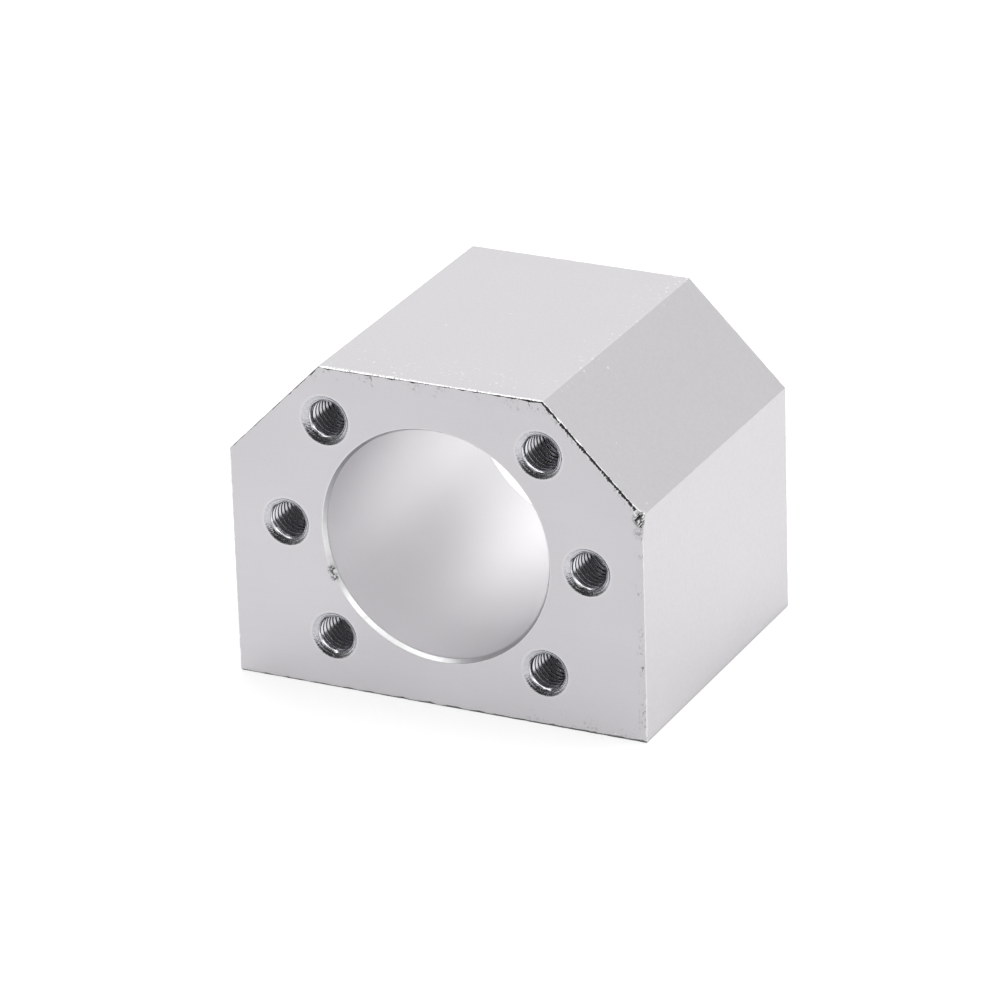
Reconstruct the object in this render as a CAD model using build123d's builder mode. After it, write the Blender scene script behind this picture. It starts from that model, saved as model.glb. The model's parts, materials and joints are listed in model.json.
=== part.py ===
"""Ball screw nut housing: the aluminium block that ties a flanged ball nut to a slide.

The block is a length of extruded bar with its two upper corners cut off. Both of its ends are
milled, and it is bored through for the nut's body. The front face is tapped round the bore
for the screws of the nut's flange, and the base is tapped for the screws that come up
through the slide. It is one piece of metal.

Millimetres, +Z up. The origin is the middle of the base. The bore runs along Y, and the
front face, where the nut's flange seats, looks along -Y.
"""

import os
from math import radians, tan

from build123d import *

# The bar's section, and the length that is cut from it.
width = 52.0
height = 40.0
corner_cut = 12.0  # both upper corners, along the top and down the side
edge_radius = 0.3  # the small round that the die leaves along the bar
length = 40.0

# The bore, a slide fit on the nut's body.
bore_diameter = 28.0
centre_height = 20.0  # from the base up to the screw's axis
lead_in_depth = 0.6  # the steep chamfer at both mouths, which guides the nut in
lead_in_angle = 30.0

# Every tapped hole takes the same screw, M5 x 0.8.
thread_diameter = 5.0
thread_pitch = 0.8
countersink_diameter = 5.8
countersink_angle = 120.0
drill_point_angle = 118.0

# The flange screws: two fans of three on one circle, one fan on each side of the bore.
flange_circle = 38.0
screws_each_side = 3
screw_step_angle = 45.0
flange_drill_depth = 13.0

# The base screws, at the corners of a rectangle.
base_spacing_x = 40.0
base_spacing_y = 24.0
base_drill_depth = 12.0

# A tapping drill leaves the thread's core, which is its diameter less one pitch.
drill_radius = (thread_diameter - thread_pitch) / 2
countersink_radius = countersink_diameter / 2

front_face = Plane(origin=(0, -length / 2, centre_height), x_dir=(1, 0, 0), z_dir=(0, -1, 0))
base_face = Plane(origin=(0, 0, 0), x_dir=(1, 0, 0), z_dir=(0, 0, -1))


def half_angle_depth(radius, full_angle):
    """The depth of a cone of this radius and this full angle."""
    return radius / tan(radians(full_angle / 2))


def tapping_hole(depth):
    """The space that one blind tapping hole takes, from its mouth at the origin down -Z.

    Half of its section is drawn and turned: a countersink at the mouth, a straight wall that
    is drilled to the depth, and the cone that the drill's point leaves at the bottom.
    """
    countersink_depth = half_angle_depth(countersink_radius - drill_radius, countersink_angle)
    point_depth = half_angle_depth(drill_radius, drill_point_angle)
    with BuildPart() as hole:
        with BuildSketch(Plane.XZ):
            with BuildLine():
                Polyline(
                    (0, 0),
                    (countersink_radius, 0),
                    (drill_radius, -countersink_depth),
                    (drill_radius, -depth),
                    (0, -depth - point_depth),
                    close=True,
                )
            make_face()
        revolve(axis=Axis.Z)
    return hole.part


flange_hole = tapping_hole(flange_drill_depth)
base_hole = tapping_hole(base_drill_depth)

with BuildPart() as nut_housing:
    # The bar: a rectangle that stands on the base, with its upper corners cut at 45 degrees.
    with BuildSketch(front_face) as section:
        with Locations((0, height / 2 - centre_height)):
            Rectangle(width, height)
        chamfer(section.vertices().group_by(Axis.Y)[-1], corner_cut)
        fillet(section.vertices(), edge_radius)
    extrude(amount=-length)

    # The bore, with a lead-in at each mouth whose depth is measured along the bore's wall.
    with Locations(front_face):
        Hole(bore_diameter / 2)
    mouths = nut_housing.edges(Select.LAST).filter_by(GeomType.CIRCLE)
    wall = nut_housing.faces(Select.LAST).filter_by(GeomType.CYLINDER)[0]
    chamfer(mouths, lead_in_depth, angle=lead_in_angle, reference=wall)

    # The flange screws, each fan centred on the level of the screw's axis.
    fan_angle = screw_step_angle * (screws_each_side - 1)
    with Locations(front_face):
        for side_angle in (0, 180):
            with PolarLocations(
                flange_circle / 2,
                screws_each_side,
                start_angle=side_angle - fan_angle / 2,
                angular_range=fan_angle,
                endpoint=True,
            ):
                add(flange_hole, mode=Mode.SUBTRACT)

    # The base screws.
    with Locations(base_face):
        with GridLocations(base_spacing_x, base_spacing_y, 2, 2):
            add(base_hole, mode=Mode.SUBTRACT)

nut_housing.part.label = "nut_housing"

os.makedirs("parts", exist_ok=True)
export_step(nut_housing.part, "parts/nut_housing.step")
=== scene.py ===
# %% [markdown]
# # A machined aluminium block, one cell at a time
#
# The object is the housing that holds the nut of a 16 mm ball screw. It is a single block of
# aluminium: a piece of extruded bar, milled at both ends, bored through and tapped. This
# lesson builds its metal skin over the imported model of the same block, then gives each
# surface the finish that its own tool leaves, and lights it like a small product shot.

# %% Open the frame
import json
import math

import bpy
import numpy as np
from mathutils import Matrix, Vector
from mathutils.geometry import delaunay_2d_cdt


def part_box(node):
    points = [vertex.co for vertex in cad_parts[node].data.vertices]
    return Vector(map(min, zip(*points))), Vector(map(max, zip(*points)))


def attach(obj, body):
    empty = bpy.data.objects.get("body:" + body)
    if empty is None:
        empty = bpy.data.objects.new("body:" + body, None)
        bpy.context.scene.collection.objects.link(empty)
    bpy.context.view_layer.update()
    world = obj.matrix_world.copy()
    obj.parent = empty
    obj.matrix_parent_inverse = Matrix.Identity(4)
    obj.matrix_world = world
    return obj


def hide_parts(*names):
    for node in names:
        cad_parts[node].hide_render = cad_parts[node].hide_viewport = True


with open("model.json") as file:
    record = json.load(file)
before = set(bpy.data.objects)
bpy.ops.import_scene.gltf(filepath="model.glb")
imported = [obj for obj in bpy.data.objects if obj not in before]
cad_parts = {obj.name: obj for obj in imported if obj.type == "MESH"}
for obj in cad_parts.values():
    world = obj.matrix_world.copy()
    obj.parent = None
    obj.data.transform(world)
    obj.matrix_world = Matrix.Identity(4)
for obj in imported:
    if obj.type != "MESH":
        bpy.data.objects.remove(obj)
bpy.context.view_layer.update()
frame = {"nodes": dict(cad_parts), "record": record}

print("nodes in the frame:", sorted(frame["nodes"]))

# %% [markdown]
# ## Sizes
#
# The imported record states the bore, the circle of the flange's screws and the base holes, so
# those sizes are read and not typed again. Only what it can't say, such as the cut corners and
# the thread's form, is set here. Arrays are worked out in millimetres and become metres in
# the mesh.

# %% Sizes from the frame
mm = 0.001
corner_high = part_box("nut_housing")[1]
half_width = corner_high.x / mm
half_length = corner_high.y / mm
height = corner_high.z / mm

mounts = {mount["name"]: mount for mount in frame["record"]["mounts"]}
bore_radius = mounts["nut_bore"]["dims"]["r_mm"]
axis_height = mounts["nut_bore"]["pos_m"][2] / mm
flange_radius = mounts["flange_screws_side"]["dims"]["spacing_x_mm"] / 2
core_radius = mounts["base_screws"]["dims"]["hole_r_mm"]
base_half_x = mounts["base_screws"]["dims"]["spacing_x_mm"] / 2
base_half_y = mounts["base_screws"]["dims"]["spacing_y_mm"] / 2

corner_cut = 12.0
edge_radius = 0.3
lead_in_depth = 0.6
lead_in_angle = math.radians(33)
print(f"block {2 * half_width:.1f} x {2 * half_length:.1f} x {height:.1f} mm, bore radius {bore_radius}")

# %% [markdown]
# ## A store for patches
#
# A closed skin can be sewn from patches: grids for what is turned or swept, and triangulated
# plates for what is flat. Every patch is kept as its own array of points and triangles, and
# neighbours are worked out from the same rims, so that one merge at the end closes the seams.

# %% Grids of two parameters
patches = []
# One material for each way in which a surface was made.
FINISHES = ("extruded_skin", "milled_end", "broken_edge", "bored_wall", "lead_in", "tapped_thread")


def keep_patch(points, triangles, finish, depth=None, shine=None):
    """Store a patch: points (n, 3) in mm, triangles (m, 3), its finish and two point values.

    Depth is how far a point lies down a tapped hole, in mm, and shine is how far a rim has
    been rubbed bright, from 0 to 1.
    """
    depth = np.zeros(len(points)) if depth is None else depth
    shine = np.zeros(len(points)) if shine is None else shine
    patches.append((points, triangles, FINISHES.index(finish), depth, shine))


def grid_triangles(rows, columns):
    """Two triangles for each cell of a grid whose point (r, c) has the number r * columns + c."""
    r, c = np.meshgrid(np.arange(rows - 1), np.arange(columns - 1), indexing="ij")
    a = (r * columns + c).ravel()
    b, d, e = a + 1, a + columns, a + columns + 1
    return np.concatenate([np.stack([a, b, e], 1), np.stack([a, e, d], 1)])


def keep_grid(points, finish, depth=None, shine=None, flip=False):
    """Store a grid of points (rows, columns, 3). A flipped grid turns its faces round."""
    rows, columns = points.shape[:2]
    triangles = grid_triangles(rows, columns)
    if flip:
        triangles = triangles[:, ::-1]
    depth = None if depth is None else np.broadcast_to(depth, (rows, columns)).ravel()
    shine = None if shine is None else np.broadcast_to(shine, (rows, columns)).ravel()
    keep_patch(points.reshape(-1, 3), triangles, finish, depth, shine)


print("a grid of 3 x 3 points has", len(grid_triangles(3, 3)), "triangles")

# %% [markdown]
# A flat face with round holes has no natural grid. A constrained Delaunay triangulation
# fills it: it takes the rims as edges that must stay. Triangles that fall inside a hole are
# dropped afterwards, which is easy here, because every hole is a ring round its own centre.

# %% Flat plates with holes
def ring_radius(rim, centre, angles):
    """The rim's distance from its centre at these angles, read between its points."""
    offset = rim - centre
    at = np.arctan2(offset[:, 1], offset[:, 0])
    order = np.argsort(at)
    return np.interp(angles, at[order], np.hypot(offset[:, 0], offset[:, 1])[order], period=2 * np.pi)


def keep_plate(rims, across, up, finish):
    """Store the flat face inside rims[0] and outside the other rims, facing across x up."""
    points = np.concatenate(rims)
    flat = np.stack([points @ across, points @ up], 1)
    starts = np.cumsum([0] + [len(rim) for rim in rims])
    loops = [np.arange(len(rim)) + start for rim, start in zip(rims, starts)]
    edges = np.concatenate([np.stack([loop, np.roll(loop, -1)], 1) for loop in loops])
    found = delaunay_2d_cdt(flat.tolist(), edges.tolist(), [], 1, 1e-7)
    triangles = np.array(found[2])
    assert len(found[0]) == len(points), "the plate's rims cross"
    middle = flat[triangles].mean(1)
    keep = np.ones(len(triangles), bool)
    for loop in loops[1:]:
        centre = flat[loop].mean(0)
        offset = middle - centre
        reach = ring_radius(flat[loop], centre, np.arctan2(offset[:, 1], offset[:, 0]))
        keep &= np.hypot(offset[:, 0], offset[:, 1]) > reach
    triangles = triangles[keep]
    a, b, c = (flat[triangles[:, i]] for i in range(3))
    turned = (b[:, 0] - a[:, 0]) * (c[:, 1] - a[:, 1]) < (b[:, 1] - a[:, 1]) * (c[:, 0] - a[:, 0])
    triangles[turned] = triangles[turned][:, ::-1]
    keep_patch(points, triangles, finish)


# %% [markdown]
# ## Wear that never repeats
#
# Burrs and nicks are random but smooth. A sum of cosines with random wavelengths and phases
# gives that, it closes on itself round a loop, and a seed makes it the same on every run.

# %% Smooth random values round a loop
def wander(along, around, loop, wavelength, seed):
    """Random values of about unit size: the sum of cosines of the way along a closed loop.

    Each wave fits a whole number of times into the loop, its length scatters round the one
    asked for, and its phase drifts with the second parameter, so that rows differ.
    """
    rng = np.random.default_rng(seed)
    count = 32
    waves = np.round(loop / (wavelength * rng.uniform(0.55, 1.9, count)))
    phase = rng.uniform(0, 2 * np.pi, count)
    drift = rng.normal(0, 1.2, count)
    along, around = np.broadcast_arrays(along, around)
    angle = 2 * np.pi * waves * along[..., None] / loop + phase + drift * around[..., None]
    return np.cos(angle).sum(-1) / math.sqrt(count / 2)


# %% [markdown]
# ## The bar's section
#
# Extruded bar has the same section all along: here a rectangle whose upper corners are cut at
# 45 degrees, with a small round on each corner. The outline is a list of points with the
# direction that each one faces. The arcs are sampled by angle and the flats by length.

# %% The outline of the section
arc_steps = 6
# In order: base, right side, right cut corner, top, left cut corner, left side.
flat_steps = (0.2, 0.12, 0.08, 0.08, 0.16, 0.2)
section_corners = np.array([
    (-half_width, 0.0),
    (half_width, 0.0),
    (half_width, height - corner_cut),
    (half_width - corner_cut, height),
    (-half_width + corner_cut, height),
    (-half_width, height - corner_cut),
])
side_vectors = np.roll(section_corners, -1, 0) - section_corners
side_lengths = np.hypot(side_vectors[:, 0], side_vectors[:, 1])
side_headings = np.unwrap(np.arctan2(side_vectors[:, 1], side_vectors[:, 0]))
side_turns = (side_headings - np.roll(side_headings, 1)) % (2 * np.pi)
cutbacks = edge_radius * np.tan(side_turns / 2)


def section_outline():
    """The outline's points, the way each one faces, and where each side starts and ends.

    At each corner the facing angle turns evenly from one side's to the next on an arc of the
    edge radius. Between two arcs the points are spaced evenly.
    """
    places, facings, spans = [], [], []
    count = 0
    for side in range(len(section_corners)):
        heading = side_headings[side]
        along = np.array([math.cos(heading), math.sin(heading)])
        outward = np.array([along[1], -along[0]])
        start = section_corners[side] + along * cutbacks[side]
        centre = start - outward * edge_radius
        facing = heading - np.pi / 2 - side_turns[side] * np.linspace(1, 0, arc_steps + 1)
        places.append(centre + edge_radius * np.stack([np.cos(facing), np.sin(facing)], 1))
        facings.append(facing)
        flat_length = side_lengths[side] - cutbacks[side] - cutbacks[(side + 1) % len(cutbacks)]
        parts = math.ceil(flat_length / flat_steps[side])
        way = np.linspace(0, flat_length, parts + 1)[1:-1]
        places.append(start + way[:, None] * along)
        facings.append(np.full(len(way), heading - np.pi / 2))
        spans.append((count + arc_steps, count + arc_steps + parts))
        count += arc_steps + parts
    return np.concatenate(places), np.concatenate(facings), spans


outline, facing, side_spans = section_outline()
outline_facing = np.stack([np.cos(facing), np.sin(facing)], 1)
steps_between = np.roll(outline, -1, 0) - outline
outline_way = np.concatenate([[0], np.cumsum(np.hypot(steps_between[:, 0], steps_between[:, 1]))])
outline_loop = outline_way[-1]
outline_way = outline_way[:-1]
print(f"outline: {len(outline)} points round {outline_loop:.1f} mm")

# %% [markdown]
# ## Broken edges
#
# Milling the ends leaves a sharp, torn edge, and a few strokes of a file break it unevenly.
# The section of the break is a quarter of an ellipse: one size says how far it reaches along
# the bar and the other how far across the milled end. On this block the break is widest along
# the top, where it leans back over the bar, and nearly nothing on the upright edges.

# %% The sizes of the breaks
band_steps = 6
# Each row holds values spaced evenly from the side's start to its end, in the outline's order.
# Along, across and rough are in millimetres. Flat is 0 for an ellipse and 1 for a plane.
front_along = [
    (0.12, 0.14, 0.16),
    (0.12, 0.10),
    (0.22, 0.22),
    (0.30, 0.34, 0.62),
    (0.30, 0.16),
    (0.14, 0.14),
]
front_across = [
    (0.15, 0.21, 0.26, 0.36),
    (0.22, 0.07, 0.06, 0.06, 0.06, 0.10),
    (0.36, 0.34, 0.30),
    (0.30, 0.18, 0.14, 0.18, 0.20, 0.22),
    (0.20, 0.12, 0.10),
    (0.16, 0.10, 0.10),
]
front_flat = [(0.7, 0.7), (0.3, 0.3), (0.5, 0.5), (0.25, 0.15), (0.3, 0.3), (0.3, 0.3)]
front_rough = [
    (0.003, 0.003),
    (0.016, 0.008, 0.014),
    (0.007, 0.005),
    (0.005, 0.007),
    (0.006, 0.004),
    (0.01, 0.01),
]
front_limit = 0.6
rear_along, rear_across, rear_flat, rear_rough, rear_limit = 0.2, 0.16, 0.3, 0.01, 0.27
slow_wave, fast_wave, fast_share = 2.2, 0.6, 0.35


def along_outline(rows):
    """A value at each outline point: straight between the values of each side's row.

    Across a corner's round it runs over from one side's last value to the next one's first.
    """
    knots, values = [], []
    for (start, end), row in zip(side_spans, rows):
        side_end = outline_way[end % len(outline)] or outline_loop
        knots.append(np.linspace(outline_way[start], side_end, len(row)))
        values.append(row)
    return np.interp(outline_way, np.concatenate(knots), np.concatenate(values), period=outline_loop)


def uneven(size, swing, seed):
    """size * exp(swing * wander), so that it varies by shares and never goes under 0."""
    slow = wander(outline_way, 0, outline_loop, slow_wave, seed)
    fast = wander(outline_way, 0, outline_loop, fast_wave, seed + 50)
    return size * np.exp(swing * (slow + fast_share * fast))


# %% [markdown]
# The break's inner rim runs beside the outline, stepped back from it. If it stepped back
# straight off every point, the small rounds at the corners would fold it over itself. So its
# way back turns gently, over a length on both sides of each corner.

# %% How the rims step back
corner_ways = outline_way[[start - arc_steps // 2 for start, end in side_spans]]
turn_length = 1.4


def smooth_step(value, low, high):
    """0 below low, 1 above high, and 3t^2 - 2t^3 of the way t in between."""
    t = np.clip((value - low) / (high - low), 0, 1)
    return t * t * (3 - 2 * t)


def inset_ways():
    """The way in which the rim steps back: the facing, turned gently over a length round corners.

    The angle is the last side's, plus each corner's turn times a smooth step of the way.
    """
    angle = np.full(len(outline), side_headings[-1] - np.pi / 2)
    places = [*corner_ways, corner_ways[0] + outline_loop]
    for place, corner_turn in zip(places, [*side_turns, side_turns[0]]):
        angle += corner_turn * smooth_step(outline_way, place - turn_length, place + turn_length)
    return np.stack([np.cos(angle), np.sin(angle)], 1)


inset_facing = inset_ways()
print("corners at", np.round(corner_ways, 1).tolist(), "mm along the outline")

# %% [markdown]
# Where the right-hand cut corner meets the upright side, the cutter has torn out a lump of
# metal about a millimetre long. A scoop is let in round that corner by a bell curve, and the
# tearing is stronger there.

# %% Bands round the milled ends
burr_place = corner_ways[2] - 0.3
burr_length = 1.1
tear_wave = 0.3


def bell(place, centre, length):
    """exp(-(distance / length)^2): 1 at the centre and nearly 0 two lengths away."""
    return np.exp(-(((place - centre) / length) ** 2))


def edge_band(face_y, inward, along, across, flat, rough, scoop, seed):
    """The break between a milled end and the bar, for every outline point.

    An ellipse has inset = across * (1 - sin bend) and depth = along * (1 - cos bend). The flat
    share mixes it with the straight line between the same ends. Roughness pushes the surface
    in and out between its rims, and the scoop carries the rim inwards at the torn corner.
    """
    bend = np.linspace(0, np.pi / 2, band_steps + 1)[None, :]
    along, across, flat, rough, scoop = (value[:, None] for value in (along, across, flat, rough, scoop))
    share = bend / (np.pi / 2)
    curve_in = (1 - flat) * (1 - np.sin(bend)) + flat * (1 - share)
    curve_down = (1 - flat) * (1 - np.cos(bend)) + flat * share
    tear = wander(outline_way[:, None], 1.5 * bend, outline_loop, tear_wave, seed)
    push = (rough + 0.05 * scoop) * np.sin(2 * bend) * tear
    inset = across * curve_in
    depth = (along + 0.8 * scoop) * curve_down - push * np.cos(bend)
    place = outline[:, None, :] - inset[..., None] * inset_facing[:, None, :]
    place = place + (push * np.sin(bend))[..., None] * outline_facing[:, None, :]
    place = place - (scoop * curve_in)[..., None] * torn_facing
    band = np.stack([place[..., 0], face_y + inward * depth, place[..., 1]], -1)
    keep_grid(np.concatenate([band, band[:1]]), "broken_edge", flip=inward < 0)
    return band[:, 0], band[:, -1]


torn_facing = outline_facing[side_spans[2][0]]
torn = 0.8 * bell(outline_way, burr_place, burr_length)
front_across_size = np.minimum(uneven(along_outline(front_across), 0.24, seed=3), front_limit)
front_rim, front_shoulder = edge_band(
    -half_length, 1, uneven(along_outline(front_along), 0.12, seed=23), front_across_size,
    along_outline(front_flat), along_outline(front_rough), torn, seed=5)

ones = np.ones(len(outline))
rear_across_size = np.minimum(uneven(rear_across * ones, 0.12, seed=4), rear_limit)
rear_rim, rear_shoulder = edge_band(
    half_length, -1, uneven(rear_along * ones, 0.12, seed=24), rear_across_size,
    rear_flat * ones, rear_rough * ones, 0 * ones, seed=6)
print(f"front break {front_across_size.min():.2f} to {front_across_size.max():.2f} mm across the end")

# %% [markdown]
# ## Tapped holes
#
# An M5 thread is a V groove that climbs one pitch a turn. On a plain grid of rings its sharp
# lines would come out jagged, so the rings are sheared: each one follows the helix, and the
# same rows always lie on the crest and in the root. Rows that would start above the mouth or
# run past the bottom are clamped there, and the merge closes them.

# %% The form of the thread
thread_radius = 2.5
thread_pitch = 0.8
countersink_radius = 2.9
countersink_slope = 1 / math.tan(math.radians(120 / 2))
drill_point = math.radians(118) / 2
hole_sides = 48
lip_width = 0.18
lip_slope = 1 / math.tan(math.radians(35))
thread_start = 0.45
growing_depth = 0.25
fading_pitches = 3
# The rubbed ring round a mouth: how far out of the mouth each row lies, and how far it stands up.
ring_out = np.array([0.5, 0.3, 0.16, 0.07, 0.0])[:, None]
ring_up = np.array([0.0, 0.0, 0.005, 0.012, 0.0])[:, None]
ring_shine = np.array([0, 0, 0.5, 1, 1])[:, None]
# Rows within one pitch, as shares of it, from the middle of the groove, and their height
# over the crest as a share of the groove's depth.
row_places = np.array([-0.0625, 0.0625, 0.20, 0.32, 0.385, 0.615, 0.68, 0.80])
row_heights = np.array([1.0, 1.0, 0.50, 0.13, 0.0, 0.0, 0.13, 0.50])
print(f"thread {2 * thread_radius:.0f} x {thread_pitch} mm over a core of {2 * core_radius:.1f} mm")

# %% [markdown]
# The countersink cuts a cone at the mouth of the hole. The tap then runs in, and wears a small
# steep lip where the cone meets the wall. The lip catches the light, so it needs close rows.

# %% The mouth of a tapped hole
def hole_mouth(mouth_size, turn, seed):
    """Radius, depth and depth value of the cone and the lip that the tap has worn under it.

    Each falls as depth = slope * (change of radius), the lip more steeply and with an uneven
    width. Close rows at both of its edges keep them crisp. The depth value that the finish
    reads is fixed for each row, so that the cone ends at the same value in every hole.
    """
    lip = lip_width * (1 + 0.22 * wander(turn, 0, 1.0, 0.11, seed))[None, :]
    cone_end = core_radius + lip
    share = np.array([0.0, 0.35, 0.7, 0.95])[:, None]
    cone = mouth_size + share * (cone_end - mouth_size)
    lip_start = (mouth_size - cone_end) * countersink_slope
    share = np.array([0.1, 0.5, 0.9])[:, None]
    worn = cone_end - share * lip
    lip_end = lip_start + lip * lip_slope
    radius = np.vstack([cone, worn, 0 * lip + core_radius])
    depth = np.vstack([
        (mouth_size - cone) * countersink_slope,
        lip_start + share * lip * lip_slope,
        lip_end + 0.03,
    ])
    return radius, depth, np.array([0.0, 0.1, 0.2, 0.3, 0.4, 0.45, 0.5, 0.55])[:, None]


# %% [markdown]
# Below the mouth the same grid goes on as the thread, then as the drill's plain wall, and ends
# in the point that the drill leaves.

# %% A tapped hole
def keep_tapped_hole(mouth, across, up, drilled, threaded, start_turn, mouth_size):
    """A blind tapped hole; returns its rim. Depth = row - pitch x turn; radius = core + groove.

    Rows that would lie above the lip stay at its lower edge. The groove grows out of the lip
    and fades out over its last three pitches, as the tap's lead leaves it.
    """
    outward = np.cross(across, up)
    turn = np.linspace(0, 1, hole_sides + 1)
    mouth_radii, mouth_depths, mouth_values = hole_mouth(mouth_size, turn, int(100 * start_turn))
    top = mouth_depths[-1:]
    turns = np.ceil((threaded - thread_start) / thread_pitch + 0.1) + 1
    row = thread_start + (np.arange(turns)[:, None] + row_places[None, :]).ravel() * thread_pitch
    height_row = np.tile(row_heights, int(turns))
    clamped = np.clip(row[:, None] - thread_pitch * turn[None, :], top, threaded)
    fade = np.clip((threaded - clamped) / (fading_pitches * thread_pitch), 0, 1)
    growth = smooth_step(clamped, top, top + growing_depth)
    radius = core_radius + (thread_radius - core_radius) * height_row[:, None] * fade * growth
    last = np.full(hole_sides + 1, 1.0)
    bottom = drilled + core_radius / math.tan(drill_point)
    clamped = np.vstack([mouth_depths, clamped, threaded * last, drilled * last, bottom * last])
    radius = np.vstack([mouth_radii, radius, core_radius * last, core_radius * last, 0 * last])
    values = clamped.copy()
    values[:len(mouth_values)] = mouth_values
    angle = 2 * np.pi * (turn + start_turn)
    angle[-1] = angle[0]
    ray = np.cos(angle)[:, None] * across + np.sin(angle)[:, None] * up
    points = mouth + radius[..., None] * ray[None] - clamped[..., None] * outward
    keep_grid(points, "tapped_thread", depth=values)
    ring = mouth + (mouth_size + ring_out)[..., None] * ray[None] + ring_up[..., None] * outward
    keep_grid(ring, "milled_end", shine=ring_shine)
    return ring[0, :-1]


# %% [markdown]
# Six holes stand round the bore for the nut's flange, in two fans of three, 45 degrees apart.
# Four more in the base take the screws that come up through the slide. Each thread starts at
# its own angle, because nobody lines taps up.

# %% The ten holes
x_way, y_way, z_way = np.eye(3)
flange_angles = np.radians([-45, 0, 45, 135, 180, 225])
flange_starts = (0.55, 0.30, 0.42, 0.78, 0.95, 0.10)
flange_mouths = (2.88, 2.92, 2.90, 3.02, 2.92, 2.88)
flange_drilled, flange_threaded = 13.0, 12.0
base_drilled, base_threaded = 12.0, 11.0

flange_rims = []
for number, angle in enumerate(flange_angles):
    mouth = np.array([
        flange_radius * math.cos(angle),
        -half_length,
        axis_height + flange_radius * math.sin(angle),
    ])
    start = flange_starts[number]
    size = flange_mouths[number]
    flange_rims.append(keep_tapped_hole(mouth, x_way, z_way, flange_drilled, flange_threaded, start, size))

base_rims = []
for number, (sign_x, sign_y) in enumerate([(-1, -1), (1, -1), (1, 1), (-1, 1)]):
    mouth = np.array([sign_x * base_half_x, sign_y * base_half_y, 0.0])
    start = 0.13 + 0.29 * number
    size = countersink_radius
    base_rims.append(keep_tapped_hole(mouth, x_way, -y_way, base_drilled, base_threaded, start, size))
print("tapped holes:", len(flange_rims), "in the front,", len(base_rims), "in the base")

# %% [markdown]
# ## The bore
#
# The bore is turned: one profile of radius against depth, carried round the axis. At both
# mouths a steep lead-in guides the nut, and its edges are soft. The front one has a few
# nicks, where something hard has knocked it.

# %% The bore's profile
bore_sides = 480
mouth_radius = bore_radius + lead_in_depth * math.tan(lead_in_angle)
mouth_round = 0.06
wall_round = 0.25
lead_in_drop = 0.03
rubbed_width = 0.14
mouth_wobble = 0.004
nick_angles = np.radians([202, 65.5, 228, 312])
nick_depths = (0.10, 0.07, 0.03, 0.03)
# Each nick is two knocks. The second one's turn from the first and both widths are in radians.
first_width = 0.016
second_knock = 0.045
second_width = 0.012
second_share = 0.6


def rounded_corner(before, corner, after, radius, steps):
    """An arc of this radius that touches both legs of a corner, as points (steps + 1, 2)."""
    before, corner, after = (np.array(p, float) for p in (before, corner, after))
    leg_in = (before - corner) / np.linalg.norm(before - corner)
    leg_out = (after - corner) / np.linalg.norm(after - corner)
    half = math.acos(np.clip(leg_in @ leg_out, -1, 1)) / 2
    middle = (leg_in + leg_out) / np.linalg.norm(leg_in + leg_out)
    centre = corner + middle * radius / math.sin(half)
    first = corner + leg_in * radius / math.tan(half) - centre
    last = corner + leg_out * radius / math.tan(half) - centre
    share = np.linspace(0, 1, steps + 1)[:, None]
    spread = math.pi - 2 * half
    return centre + (np.sin((1 - share) * spread) * first + np.sin(share * spread) * last) / math.sin(spread)


def bore_profile():
    """Radius and depth from a milled face inwards, with both edges of the lead-in rounded."""
    face = (mouth_radius + 1, 0)
    edge = (mouth_radius, 0)
    foot = (bore_radius, lead_in_depth)
    wall = (bore_radius, half_length)
    return np.concatenate([
        [(mouth_radius + 0.35, 0), (mouth_radius + rubbed_width, 0)],
        rounded_corner(face, edge, foot, mouth_round, 3),
        rounded_corner(edge, foot, wall, wall_round, 3),
        [(bore_radius, 1.4)],
    ])


print(f"bore mouth radius {mouth_radius:.2f} mm")

# %% [markdown]
# A profile's rows become rings. The first rows belong to the milled face, the next ones to the
# lead-in and the rest to the wall, so the grid is stored in bands, each with its own finish.

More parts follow.
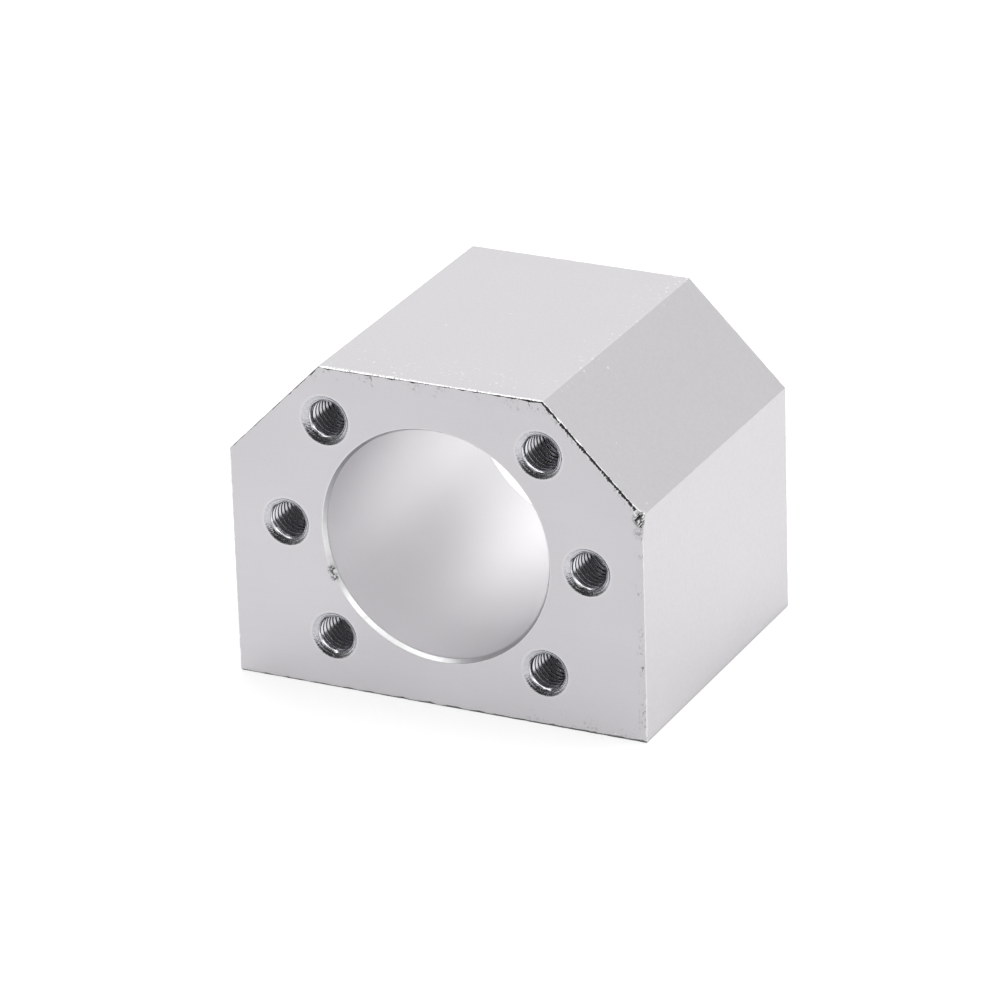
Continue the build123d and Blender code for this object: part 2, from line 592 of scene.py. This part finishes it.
# %% The bore's wall and its two mouths
def keep_bore():
    """Carry the profile round the axis and mirror it to the rear; returns both rims.

    The lead-in's tool stood a hair low, so the front mouth drops by drop * sin(angle). A nick
    is a pair of bell curves of the angle that push the mouth's edge outwards.
    """
    profile = bore_profile()
    front = np.stack([profile[:, 0], profile[:, 1] - half_length], 1)
    rear = np.stack([profile[::-1, 0], half_length - profile[::-1, 1]], 1)
    both = np.concatenate([front, rear])
    turn = np.append(2 * np.pi * np.arange(bore_sides) / bore_sides, 0.0)
    radius = np.repeat(both[:, :1], bore_sides + 1, 1)
    y = np.repeat(both[:, 1:], bore_sides + 1, 1)
    loop = 2 * np.pi * bore_radius
    at_edge = bell(np.abs(y), half_length, 0.2) * (radius < mouth_radius + 0.1)
    at_front = (y < 0) * (radius > bore_radius) * (radius < mouth_radius + 0.1)
    wobble = wander(turn[None, :] * bore_radius, 2 * y, loop, 0.9, seed=8)
    radius = radius + mouth_wobble * at_edge * wobble
    radius = radius - lead_in_drop * at_front * np.sin(turn)
    for angle, size in zip(nick_angles, nick_depths):
        hollow = bell(turn, angle, first_width)
        hollow = hollow + second_share * bell(turn, angle + second_knock, second_width)
        radius = radius + size * at_edge * (y < 0) * hollow
    points = np.stack([radius * np.cos(turn), y, axis_height + radius * np.sin(turn)], -1)
    face_rows, bevel_rows = 2, 9
    rows = (face_rows, bevel_rows, len(both) - 1 - bevel_rows, len(both) - 1 - face_rows)
    shine = np.clip(1 - (both[:, 0] - mouth_radius) / rubbed_width, 0, 1)[:, None]
    keep_grid(points[:rows[0] + 1], "milled_end", shine=shine[:rows[0] + 1])
    keep_grid(points[rows[0]:rows[1] + 1], "lead_in")
    keep_grid(points[rows[1]:rows[2] + 1], "bored_wall")
    keep_grid(points[rows[2]:rows[3] + 1], "lead_in")
    keep_grid(points[rows[3]:], "milled_end", shine=shine[rows[3]:])
    return points[0, :-1], points[-1, :-1]


front_mouth, rear_mouth = keep_bore()
print(f"bore wall: {bore_sides} points round, nicks at {np.degrees(nick_angles).round(1)} degrees")

# %% [markdown]
# ## Faces and sides
#
# What is left is flat: two milled ends, six sides of the bar and, between the sides, the
# small rounds that run the length of it. Each plate is bounded by rims that exist already.

# %% Milled ends
keep_plate([front_rim, front_mouth] + flange_rims, x_way, z_way, "milled_end")
keep_plate([rear_rim, rear_mouth], -x_way, z_way, "milled_end")
print("front plate has", len(flange_rims) + 1, "openings, rear plate has 1")

# %% [markdown]
# A line along the bar joins the two shoulders at one point of the outline. The lines of an arc
# make a small round, and the first and last lines of a side close its rim.

# %% Sides of the bar and the rounds between them
edge_rows = 60


def long_line(index):
    """Points from the front shoulder to the rear one at one place of the outline."""
    share = np.linspace(0, 1, edge_rows + 1)[:, None]
    return front_shoulder[index] * (1 - share) + rear_shoulder[index] * share


def round_strip(side):
    """The small round before a side: the outline's arc, carried along the bar."""
    start = side_spans[side][0]
    columns = np.arange(start - arc_steps, start + 1)
    lines = np.stack([long_line(index) for index in columns])
    keep_grid(lines, "extruded_skin")


def side_plate(side, holes=()):
    """The flat side between two rounds, bounded by both shoulders and two long lines."""
    start, end = side_spans[side]
    columns = np.arange(start, end + 1) % len(outline)
    rim = np.concatenate([
        front_shoulder[columns],
        long_line(columns[-1])[1:-1],
        rear_shoulder[columns[::-1]],
        long_line(columns[0])[-2:0:-1],
    ])
    heading = side_headings[side]
    along = np.array([math.cos(heading), 0.0, math.sin(heading)])
    keep_plate([rim, *holes], y_way, along, "extruded_skin")


for side in range(len(section_corners)):
    round_strip(side)
    side_plate(side, base_rims if side == 0 else ())
print("patches:", len(patches))

# %% [markdown]
# ## One closed skin
#
# The merge rounds every point to a hundredth of a micrometre and keeps one of each. What
# collapses to a line is dropped. Two facts then tell whether the skin is sound: every edge
# has exactly two triangles, and the signed volume of the triangles comes out positive and
# close to that of the solid.

# %% Merge the patches
def merged_patches():
    """All patches as one set of points, triangles, finishes and point values, doubles merged."""
    points = np.concatenate([patch[0] for patch in patches])
    offsets = np.cumsum([0] + [len(patch[0]) for patch in patches[:-1]])
    triangles = np.concatenate([patch[1] + offset for patch, offset in zip(patches, offsets)])
    finish = np.concatenate([np.full(len(patch[1]), patch[2]) for patch in patches])
    depth = np.concatenate([patch[3] for patch in patches])
    shine = np.concatenate([patch[4] for patch in patches])
    keys = np.round(points, 5) + 0.0
    first, number = np.unique(keys, axis=0, return_index=True, return_inverse=True)[1:]
    triangles = number.reshape(-1)[triangles]
    a, b, c = triangles.T
    sound = (a != b) & (b != c) & (c != a)
    return points[first], triangles[sound], finish[sound], depth[first], shine[first]


points, triangles, finishes, depths, shines = merged_patches()
edges = np.sort(np.concatenate([triangles[:, [0, 1]], triangles[:, [1, 2]], triangles[:, [2, 0]]]), 1)
edge_uses = np.unique(edges, axis=0, return_counts=True)[1]
a, b, c = (points[triangles[:, i]] for i in range(3))
cross = np.cross(b - a, c - a)
volume = (a * cross).sum() / 6
print(f"{len(points)} points, {len(triangles)} triangles, open edges {(edge_uses != 2).sum()}")
print(f"volume {volume / 1000:.3f} cubic centimetres")

# %% [markdown]
# Smooth shading needs one normal for each point. The sum of the triangles' cross products
# weighs each one by its area, so a wide flat face keeps its own direction right up to its
# rim, and the thin band beside it bends in between.

# %% The mesh
finish_materials = {name: bpy.data.materials.new(name) for name in FINISHES}


def housing_mesh():
    """The block as one Blender mesh in metres, with its finishes, hole depths and normals."""
    mesh = bpy.data.meshes.new("housing_block")
    mesh.from_pydata((points * mm).tolist(), [], triangles.tolist())
    for name in FINISHES:
        mesh.materials.append(finish_materials[name])
    mesh.polygons.foreach_set("material_index", finishes.astype(np.int32))
    mesh.polygons.foreach_set("use_smooth", np.ones(len(triangles), bool))
    for name, values in (("hole_depth", depths), ("rim_shine", shines)):
        layer = mesh.attributes.new(name, "FLOAT", "POINT")
        layer.data.foreach_set("value", values.astype(np.float32))
    normals = np.zeros_like(points)
    for corner in range(3):
        np.add.at(normals, triangles[:, corner], cross)
    normals /= np.linalg.norm(normals, axis=1)[:, None]
    mesh.normals_split_custom_set_from_vertices(normals.tolist())
    mesh.update()
    return mesh


block = bpy.data.objects.new("housing_block", housing_mesh())
bpy.context.scene.collection.objects.link(block)
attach(block, "root")
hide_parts("nut_housing")
print("finishes on the block:", ", ".join(FINISHES))

# %% [markdown]
# ## Finishes
#
# Bare metal is all reflection, so its colour goes into Base Color with Metallic at 1, and the
# tool that cut it decides the roughness. The small effects that several finishes share are
# node groups, each with one or two varying outputs. All of them read Object coordinates,
# turned into millimetres, so a number in a group is a size on the block.

# %% Helpers for node trees
def add_node(tree, kind, **settings):
    """A new node. Names that are inputs are set as inputs, the others as properties."""
    node = tree.nodes.new(kind)
    for name, value in settings.items():
        label = name.replace("_", " ").title()
        if label in node.inputs:
            node.inputs[label].default_value = value
        else:
            setattr(node, name, value)
    return node


def feed(tree, socket, value):
    """Set a socket to a plain number, or link another node's output to it."""
    if isinstance(value, (int, float)):
        socket.default_value = value
    else:
        tree.links.new(value, socket)


def math_node(tree, operation, *values):
    """A Math node over sockets and plain numbers; returns its output."""
    node = add_node(tree, "ShaderNodeMath", operation=operation)
    for socket, value in zip(node.inputs, values):
        feed(tree, socket, value)
    return node.outputs[0]


def product(tree, *parts):
    """The product of several sockets and plain numbers, multiplied from the left."""
    answer = parts[0]
    for part in parts[1:]:
        answer = math_node(tree, "MULTIPLY", answer, part)
    return answer


def ramp_node(tree, value, low, high, to_low=0.0, to_high=1.0):
    """A smooth change from to_low to to_high while the value goes from low to high."""
    node = add_node(tree, "ShaderNodeMapRange", interpolation_type="SMOOTHSTEP")
    for socket, number in zip(node.inputs, (value, low, high, to_low, to_high)):
        feed(tree, socket, number)
    return node.outputs["Result"]


def millimetres(tree, stretch=(1, 1, 1)):
    """Object coordinates in millimetres, each axis divided by its stretch."""
    place = add_node(tree, "ShaderNodeTexCoord").outputs["Object"]
    scale = add_node(tree, "ShaderNodeVectorMath", operation="MULTIPLY")
    scale.inputs[1].default_value = [1 / mm / factor for factor in stretch]
    tree.links.new(place, scale.inputs[0])
    return scale.outputs[0]


def axes_of(tree):
    """The three Object coordinates in millimetres, each as its own output."""
    axes = add_node(tree, "ShaderNodeSeparateXYZ")
    tree.links.new(millimetres(tree), axes.inputs[0])
    return axes.outputs["X"], axes.outputs["Y"], axes.outputs["Z"]


def noise_node(tree, place, scale, detail=2.0, roughness=0.5):
    """Noise from 0 to 1 with this many features in a millimetre."""
    node = add_node(tree, "ShaderNodeTexNoise", scale=scale, detail=detail, roughness=roughness)
    tree.links.new(place, node.inputs["Vector"])
    return node.outputs[0]


def new_group(name, outputs):
    """An empty node group with these outputs; returns the tree and a function to set one."""
    tree = bpy.data.node_groups.new(name, "ShaderNodeTree")
    for output in outputs:
        tree.interface.new_socket(output, in_out="OUTPUT", socket_type="NodeSocketFloat")
    end = tree.nodes.new("NodeGroupOutput")

    def set_output(output, value):
        """Link a value to the output of this name."""
        tree.links.new(value, end.inputs[output])

    return tree, set_output


# %% [markdown]
# Five effects are shared. The first two are grain, the fine mottle of blasted or brushed metal,
# and specks, the bright dots where grit has bruised it. For specks a Voronoi pattern gives
# every cell one point, and only some cells are let through.

# %% Grain and specks
def speck_mask(tree, place, cell, size, share):
    """1 inside a round dot of this size in a share of the cells, and 0 elsewhere."""
    cells = add_node(tree, "ShaderNodeTexVoronoi", scale=1 / cell, randomness=1.0)
    tree.links.new(place, cells.inputs["Vector"])
    pick = add_node(tree, "ShaderNodeSeparateColor")
    tree.links.new(cells.outputs["Color"], pick.inputs[0])
    chosen = math_node(tree, "GREATER_THAN", pick.outputs[0], 1 - share)
    reach = math_node(tree, "MULTIPLY_ADD", pick.outputs[1], size, size * 0.25)
    nearness = math_node(tree, "SUBTRACT", reach, cells.outputs["Distance"])
    dot = ramp_node(tree, nearness, 0.0, size * 0.6)
    return product(tree, dot, chosen)


def grain_group():
    """Fine mottle from 0 to 1, and a rougher one for the bump."""
    tree, set_output = new_group("metal_grain", ("Mottle", "Height"))
    place = millimetres(tree)
    set_output("Mottle", noise_node(tree, place, 2.6, 3.0, 0.65))
    set_output("Height", noise_node(tree, place, 6.0, 2.0, 0.6))
    return tree


def speck_group():
    """Bright dots on the top, thick along its front and right edges, and a few on the right cut."""
    tree, set_output = new_group("grit_specks", ("Specks",))
    place = millimetres(tree)
    x, y, z = axes_of(tree)
    cut_foot = height - corner_cut
    near_front = ramp_node(tree, y, -19.5, -9.0, 1.0, 0.12)
    near_cut = ramp_node(tree, x, 8.5, 13.8)
    on_top = ramp_node(tree, z, height - 0.6, height - 0.2)
    low_front = product(
        tree,
        ramp_node(tree, y, -19.0, -14.5, 1.0, 0.0),
        ramp_node(tree, z, cut_foot - 0.2, cut_foot + 0.2),
        ramp_node(tree, z, cut_foot + 5.5, cut_foot + 1.0),
    )
    patchy = ramp_node(tree, noise_node(tree, place, 0.35, 1.0), 0.30, 0.60, 0.25, 1.0)
    where = product(tree, math_node(tree, "MAXIMUM", near_front, near_cut), on_top)
    where = product(tree, math_node(tree, "MAXIMUM", where, low_front), patchy)
    dense = product(tree, speck_mask(tree, place, 0.5, 0.38, 0.36), where)
    above = ramp_node(tree, z, cut_foot - 0.5, cut_foot + 0.5)
    sparse = product(tree, speck_mask(tree, place, 2.6, 0.085, 0.3), above)
    set_output("Specks", math_node(tree, "MAXIMUM", dense, sparse))
    return tree


# %% [markdown]
# The other three are streaks, which are fine lines along one direction, painted shade in the
# torn corner and the largest nick, and wear, a slow uneven smudge with a few pits in it.

# %% Streaks, painted shade and wear
def streak_group():
    """Fine lines across the milled end, in two widths."""
    tree, set_output = new_group("cutter_streaks", ("Streaks", "Height"))
    fine = noise_node(tree, millimetres(tree, (9.0, 9.0, 0.22)), 1.0, 2.0, 0.6)
    wide = noise_node(tree, millimetres(tree, (30.0, 30.0, 2.2)), 1.0, 1.0)
    set_output("Streaks", math_node(tree, "MULTIPLY_ADD", fine, 0.5, product(tree, wide, 0.5)))
    set_output("Height", fine)
    return tree


def torn_shade_group():
    """Painted shade in torn metal: flecks round the torn corner and the largest nick in the bore.

    Each spot is a place on the front end with an inner and an outer radius and a strength.
    """
    # Painted shade: these spots darken the colour in the torn corner's hollow and in the largest nick.
    tree, set_output = new_group("torn_spot_shade", ("PaintedShade",))
    place = millimetres(tree)
    cut_foot = height - corner_cut
    spots = [
        (half_width - 0.2, cut_foot - 0.5, 0.6, 1.3, 1.0),
        (half_width - 0.3, cut_foot - 2.0, 0.2, 1.2, 0.5),
    ]
    for turn, inner, outer in ((-0.015, 0.35, 0.7), (second_knock, 0.3, 0.65)):
        x = mouth_radius * math.cos(nick_angles[0] + turn)
        z = axis_height + mouth_radius * math.sin(nick_angles[0] + turn)
        spots.append((x, z, inner, outer, 1.0))
    near = 0.0
    for x, z, inner, outer, strength in spots:
        gap = add_node(tree, "ShaderNodeVectorMath", operation="DISTANCE")
        gap.inputs[1].default_value = (x, -half_length, z)
        tree.links.new(place, gap.inputs[0])
        spot = ramp_node(tree, gap.outputs["Value"], inner, outer, strength, 0.0)
        near = math_node(tree, "MAXIMUM", near, spot)
    flecks = ramp_node(tree, noise_node(tree, place, 3.0, 3.0, 0.65), 0.40, 0.54)
    set_output("PaintedShade", product(tree, near, flecks))
    return tree


def wear_group():
    """Slow smudges from 0 to 1, and small dark pits."""
    tree, set_output = new_group("handling_wear", ("Smudge", "Pits"))
    place = millimetres(tree)
    set_output("Smudge", noise_node(tree, place, 0.085, 2.0, 0.55))
    gate = ramp_node(tree, noise_node(tree, place, 0.22, 1.0), 0.45, 0.65)
    set_output("Pits", product(tree, speck_mask(tree, place, 1.5, 0.07, 0.35), gate))
    return tree


shared = {
    "grain": grain_group(),
    "specks": speck_group(),
    "streaks": streak_group(),
    "torn": torn_shade_group(),
    "wear": wear_group(),
}
print("shared effects:", ", ".join(shared))

# %% [markdown]
# A finish adds its effects to one brightness factor. The factor multiplies the metal's own
# colour, and the bump comes from the same groups, so that colour and relief agree.

# %% Build a finish
def start_finish(name, roughness):
    """A metal material's tree and shader, with the shared groups that it may use."""
    material = finish_materials[name]
    material.use_nodes = True
    tree = material.node_tree
    shader = tree.nodes["Principled BSDF"]
    shader.inputs["Metallic"].default_value = 1.0
    shader.inputs["Roughness"].default_value = roughness

    def use(group):
        """The outputs of a new node that holds this shared group."""
        node = tree.nodes.new("ShaderNodeGroup")
        node.node_tree = shared[group]
        return node.outputs

    return tree, shader, use


def centred(tree, value, swing):
    """swing * (value - 0.5): a small rise or fall round zero."""
    return math_node(tree, "MULTIPLY_ADD", value, swing, -swing / 2)


def total(tree, *parts):
    """The sum of several sockets."""
    answer = parts[0]
    for part in parts[1:]:
        answer = math_node(tree, "ADD", answer, part)
    return answer


def set_colour(tree, shader, colour, change):
    """Base Color = colour * (1 + change)."""
    factor = math_node(tree, "ADD", change, 1.0)
    scaled = add_node(tree, "ShaderNodeVectorMath", operation="SCALE")
    scaled.inputs[0].default_value = colour
    tree.links.new(factor, scaled.inputs["Scale"])
    tree.links.new(scaled.outputs[0], shader.inputs["Base Color"])


def set_bump(tree, shader, height, distance, strength):
    """Bump of a height from 0 to 1 over this distance in mm."""
    bump = add_node(tree, "ShaderNodeBump", strength=strength, distance=distance * mm)
    tree.links.new(height, bump.inputs["Height"])
    tree.links.new(bump.outputs[0], shader.inputs["Normal"])


def point_value(tree, name):
    """A point value of the mesh, such as the depth in a hole."""
    return add_node(tree, "ShaderNodeAttribute", attribute_name=name).outputs["Fac"]


# %% [markdown]
# The bar's long sides were blasted and clear anodised before it was cut up, so they are dull,
# with a fine grain. Grit and knocks have bruised them a little near the front.

# %% The bar's skin
def extruded_skin():
    """Grainy and even, with bruised specks near the milled end."""
    tree, shader, use = start_finish("extruded_skin", 0.46)
    grain, specks, wear = use("grain"), use("specks"), use("wear")
    change = total(
        tree,
        centred(tree, grain["Mottle"], 0.14),
        centred(tree, wear["Smudge"], 0.035),
        product(tree, specks["Specks"], 0.30),
    )
    set_colour(tree, shader, (0.650, 0.638, 0.656), change)
    height = math_node(tree, "MULTIPLY_ADD", specks["Specks"], 0.5, grain["Height"])
    set_bump(tree, shader, height, 0.012, 0.35)


extruded_skin()

# %% [markdown]
# The milled ends carry the cutter's fine lines. Round every hole the countersink has rubbed a
# thin bright ring. Small dark pits are scattered over both ends, and the front one has patchy
# painted shade along its upper, right and lower edges.

# %% The milled ends
def front_edge_shade(tree):
    """Patchy painted shade on the front milled end, close to its upper, right and lower edges."""
    x, y, z = axes_of(tree)
    right = ramp_node(tree, x, half_width - 1.3, half_width - 0.4)
    slope_end = half_width + height - corner_cut
    right_cut = ramp_node(tree, math_node(tree, "ADD", x, z), slope_end - 1.6, slope_end - 0.3)
    upper = ramp_node(tree, z, height - 2.2, height - 0.4)
    lower = product(tree, ramp_node(tree, z, 2.6, 0.3), ramp_node(tree, x, 2.0, 18.0, 0.0, 0.6))
    near = right
    for edge in (right_cut, upper, lower):
        near = math_node(tree, "MAXIMUM", near, edge)
    front_only = ramp_node(tree, y, -1.0, 1.0, 1.0, 0.0)
    patchy = ramp_node(tree, noise_node(tree, millimetres(tree), 0.5, 2.0), 0.46, 0.62)
    fine = noise_node(tree, millimetres(tree, (1.0, 1.0, 1.6)), 3.5, 2.0, 0.6)
    return product(tree, near, front_only, patchy, ramp_node(tree, fine, 0.50, 0.66))


def milled_end():
    """Cut metal: a little darker than the skin, streaked, bright in the rings round holes."""
    tree, shader, use = start_finish("milled_end", 0.34)
    grain, streaks, wear = use("grain"), use("streaks"), use("wear")
    ring = point_value(tree, "rim_shine")
    change = total(
        tree,
        centred(tree, streaks["Streaks"], 0.06),
        centred(tree, grain["Mottle"], 0.05),
        centred(tree, wear["Smudge"], 0.08),
        product(tree, wear["Pits"], -0.3),
        product(tree, ring, 0.13),
        # painted shade along the front end's upper, right and lower edges
        product(tree, front_edge_shade(tree), -0.6),
        # painted shade in the torn corner and the largest nick
        product(tree, use("torn")["PaintedShade"], -0.7),
    )
    set_colour(tree, shader, (0.600, 0.587, 0.610), change)
    set_bump(tree, shader, streaks["Height"], 0.004, 0.3)


milled_end()

# %% [markdown]
# A break is fresh metal that a file or the cutter's tearing left, so it is the shiniest finish,
# and where it is torn, painted shade darkens it.

# %% The broken edges
def broken_edge():
    """Torn and filed metal: bright and uneven, with painted shade in the torn corner."""
    tree, shader, use = start_finish("broken_edge", 0.16)
    grain = use("grain")
    # painted shade in the torn corner
    painted_shade = product(tree, use("torn")["PaintedShade"], -0.75)
    change = total(tree, centred(tree, grain["Mottle"], 0.25), painted_shade)
    set_colour(tree, shader, (0.70, 0.70, 0.71), change)
    set_bump(tree, shader, grain["Height"], 0.03, 0.4)


broken_edge()

# %% [markdown]
# In the bore the boring tool has left rings too fine to see one by one. They show only as a
# soft, even sheen. The lead-ins were cut last, with a sharper tool.

# %% The bored wall
def bored_wall():
    """Turned metal: even, with the boring tool's fine rings."""
    tree, shader, use = start_finish("bored_wall", 0.51)
    grain, wear = use("grain"), use("wear")
    rings = noise_node(tree, millimetres(tree, (40.0, 0.2, 40.0)), 1.0, 2.0)
    change = total(tree, centred(tree, grain["Mottle"], 0.03), centred(tree, wear["Smudge"], 0.04))
    set_colour(tree, shader, (0.885, 0.872, 0.891), change)
    set_bump(tree, shader, rings, 0.003, 0.3)


bored_wall()

# %% [markdown]
# The lead-ins share the torn spots' painted shade, because the largest nick lies on the front one.

# %% The lead-ins
def lead_in():
    """The bevels at the bore's mouths: smoother than the wall, with painted shade in the nick."""
    tree, shader, use = start_finish("lead_in", 0.28)
    # painted shade in the nick
    painted_shade = product(tree, use("torn")["PaintedShade"], -0.85)
    change = total(tree, centred(tree, use("grain")["Mottle"], 0.1), painted_shade)
    set_colour(tree, shader, (0.81, 0.81, 0.82), change)


lead_in()

# %% [markdown]
# In the tapped holes the cone keeps the countersink's turning rings, and the thread's colour
# is painted darker with depth, as the shade down the hole.

# %% The tapped threads
cone_ring_step = 0.15  # in depth value, from one turning ring of the countersink to the next


def tapped_thread():
    """Dull and ringed on the cone, and painted darker down the thread as shade in the hole.

    The rings are sin(2 pi * depth / step).
    """
    tree, shader, use = start_finish("tapped_thread", 0.2)
    grain = use("grain")
    depth = point_value(tree, "hole_depth")
    # painted shade: the colour darkens with depth down the hole
    depth_shade = ramp_node(tree, depth, 0.6, 3.2, 0.0, -0.25)
    cone = ramp_node(tree, depth, 0.30, 0.40, 1.0, 0.0)
    mottle = product(tree, centred(tree, grain["Mottle"], 0.3), cone)
    dull = product(tree, cone, -0.31)
    set_colour(tree, shader, (0.82, 0.82, 0.86), total(tree, depth_shade, mottle, dull))
    rings = math_node(tree, "SINE", product(tree, depth, 2 * math.pi / cone_ring_step))
    marks = total(tree, grain["Height"], product(tree, rings, 0.2))
    set_bump(tree, shader, product(tree, marks, cone), 0.06, 0.8)


tapped_thread()
for name, material in finish_materials.items():
    print(name, "has", len(material.node_tree.nodes), "nodes")

# %% [markdown]
# ## The camera
#
# The photograph was taken with a long lens from the right and above. The camera's angles and
# distance were fitted to the block's corners, so the lens and the aim are given as the
# fit found them.

# %% The camera's place and lens
camera_azimuth = math.radians(26.59)
camera_elevation = math.radians(23.67)
camera_roll = math.radians(-1.76)
camera_distance = 735.8 * mm
camera_aim = Vector((-4.19, 5.16, 14.82)) * mm
focal_pixels = 6282.5
image_pixels = 1000
sensor_width = 36.0


def camera_turn():
    """The camera's rotation: it looks along its heading, and its right side dips by the roll."""
    ahead = Vector((
        -math.sin(camera_azimuth) * math.cos(camera_elevation),
        math.cos(camera_azimuth) * math.cos(camera_elevation),
        -math.sin(camera_elevation),
    ))
    level_right = ahead.cross(Vector((0, 0, 1))).normalized()
    level_up = level_right.cross(ahead)
    tilt = math.asin(math.sin(camera_roll) / math.cos(camera_elevation))
    right = level_right * math.cos(tilt) + level_up * math.sin(tilt)
    up = right.cross(ahead)
    return Matrix((right, up, -ahead)).transposed(), ahead


turn, ahead = camera_turn()
camera_data = bpy.data.cameras.new("camera")
camera_data.sensor_width = sensor_width
camera_data.lens = focal_pixels / image_pixels * sensor_width
camera_data.clip_end = 10
camera = bpy.data.objects.new("camera", camera_data)
camera.matrix_world = Matrix.Translation(camera_aim - ahead * camera_distance) @ turn.to_4x4()
bpy.context.scene.collection.objects.link(camera)
bpy.context.scene.camera = camera
print(f"lens {camera_data.lens:.1f} mm at {camera_distance:.3f} m")

# %% [markdown]
# ## Floor and light
#
# The block stands on a white sweep inside a light tent. Metal mirrors the floor, and a real
# sweep is lit unevenly, so how bright it looks in the metal is painted on by place, as a glow
# from ramps over the floor in millimetres. It falls off towards the camera and dips behind the
# block. A dip close in front of the block and the black underneath are its painted shadow. To
# the camera the floor is the same everywhere, apart from the block's shadow.

# %% The floor as the metal sees it
def floor_in_metal(tree):
    """The product of the sweep and two dips, which is 0 under the block.

    Outside = the larger of |x| - half width and |y| - half length, so it is above 0 where the
    block doesn't cover the floor.
    """
    x, y = axes_of(tree)[:2]
    past_x = math_node(tree, "SUBTRACT", math_node(tree, "ABSOLUTE", x), half_width)
    past_y = math_node(tree, "SUBTRACT", math_node(tree, "ABSOLUTE", y), half_length)
    outside = math_node(tree, "MAXIMUM", past_x, past_y)
    near_end = ramp_node(tree, x, -10.0, -40.0, 0.635, 0.695)
    sweep = ramp_node(tree, y, -120.0, 40.0, near_end, 0.84)
    # painted shadow: the glow is 0 under the block and rises within 0.4 mm outside it
    uncovered = ramp_node(tree, outside, 0.0, 0.4, 0.0, sweep)
    rear_dip = ramp_node(tree, y, -25.0, 0.0, 1.0, ramp_node(tree, x, 42.0, 12.0, 1.0, 0.6))
    beside = ramp_node(tree, x, -32.0, -14.0, 1.0, 0.935)
    # painted shadow: a dip in the glow close to the block
    close_dip = ramp_node(tree, y, -52.0, -28.0, 1.0, ramp_node(tree, y, 0.0, 30.0, beside, 1.0))
    return product(tree, uncovered, rear_dip, close_dip)


# %% [markdown]
# The floor's own grey holds the shadow. What it lacks to white is added as emission for the
# camera's rays. The rays that the metal mirrors get the brightness worked out above instead.

# %% The floor
floor_reach = 4.0
floor_level = -0.02 * mm
floor_grey = 0.45
camera_glow = 0.74


def white_floor():
    """A wide square, a hair below the block's base, so that the two faces don't coincide."""
    signs = ((-1, -1), (1, -1), (1, 1), (-1, 1))
    mesh = bpy.data.meshes.new("floor")
    mesh.from_pydata([(a * floor_reach, b * floor_reach, floor_level) for a, b in signs], [], [(0, 1, 2, 3)])
    floor = bpy.data.objects.new("floor", mesh)
    bpy.context.scene.collection.objects.link(floor)
    material = bpy.data.materials.new("white_floor")
    material.use_nodes = True
    tree = material.node_tree
    shader = tree.nodes["Principled BSDF"]
    shader.inputs["Base Color"].default_value = (floor_grey, floor_grey, floor_grey, 1)
    shader.inputs["Roughness"].default_value = 1.0
    shader.inputs["Specular IOR Level"].default_value = 0.0
    shader.inputs["Emission Color"].default_value = (1, 1, 1, 1)
    rays = add_node(tree, "ShaderNodeLightPath").outputs
    for_metal = product(tree, rays["Is Glossy Ray"], floor_in_metal(tree))
    glow = math_node(tree, "MULTIPLY_ADD", rays["Is Camera Ray"], camera_glow, for_metal)
    tree.links.new(glow, shader.inputs["Emission Strength"])
    mesh.materials.append(material)


white_floor()
print(f"floor {2 * floor_reach:.0f} m across, {-floor_level / mm:.2f} mm below the base")

# %% [markdown]
# The tent is a world whose strength depends on direction. It is white, with a brighter panel
# overhead and another to the upper right, dimmer walls left, right and behind, and a dark
# opening where the camera stands. The opening is what draws the threads and the torn edge black.

# %% The tent
# Direction, the angles in degrees where the patch starts and ends to fade, and its strength.
tent_patches = [
    ((0.42, 0.80, 0.42), 12, 36, 0.73),
    ((-1.0, -0.10, 0.12), 30, 55, 0.22),
    ((1.0, -0.03, 0.06), 12, 26, 0.6),
    ((0.05, 0.12, 0.99), 30, 46, 1.9),
    ((0.66, 0.10, 0.74), 18, 30, 2.0),
    ((0.05, -0.88, 0.47), 44, 53, 0.05),
]


def patch_mask(tree, way, direction, inner, outer):
    """1 within the inner angle of a direction and 0 past the outer one, by the angle's cosine."""
    dot = add_node(tree, "ShaderNodeVectorMath", operation="DOT_PRODUCT")
    dot.inputs[1].default_value = Vector(direction).normalized()
    tree.links.new(way, dot.inputs[0])
    low, high = math.cos(math.radians(outer)), math.cos(math.radians(inner))
    return ramp_node(tree, dot.outputs["Value"], low, high)


def blend(tree, low, high, mask):
    """low where the mask is 0 and high where it is 1."""
    mix = add_node(tree, "ShaderNodeMix")
    feed(tree, mix.inputs[0], mask)
    feed(tree, mix.inputs[2], low)
    feed(tree, mix.inputs[3], high)
    return mix.outputs[0]


def light_tent():
    """White, with each patch blended over the ones before it, and plain white to the camera."""
    world = bpy.data.worlds.new("light_tent")
    bpy.context.scene.world = world
    world.use_nodes = True
    tree = world.node_tree
    way = add_node(tree, "ShaderNodeTexCoord").outputs["Generated"]
    level = 1.0
    for direction, inner, outer, strength in tent_patches:
        level = blend(tree, level, strength, patch_mask(tree, way, direction, inner, outer))
    rays = add_node(tree, "ShaderNodeLightPath").outputs
    background = tree.nodes["Background"]
    background.inputs["Color"].default_value = (1, 1, 1, 1)
    tree.links.new(blend(tree, level, 1.0, rays["Is Camera Ray"]), background.inputs["Strength"])


light_tent()
bpy.context.scene.view_settings.view_transform = "Standard"
print("patches of light in the tent:", len(tent_patches))
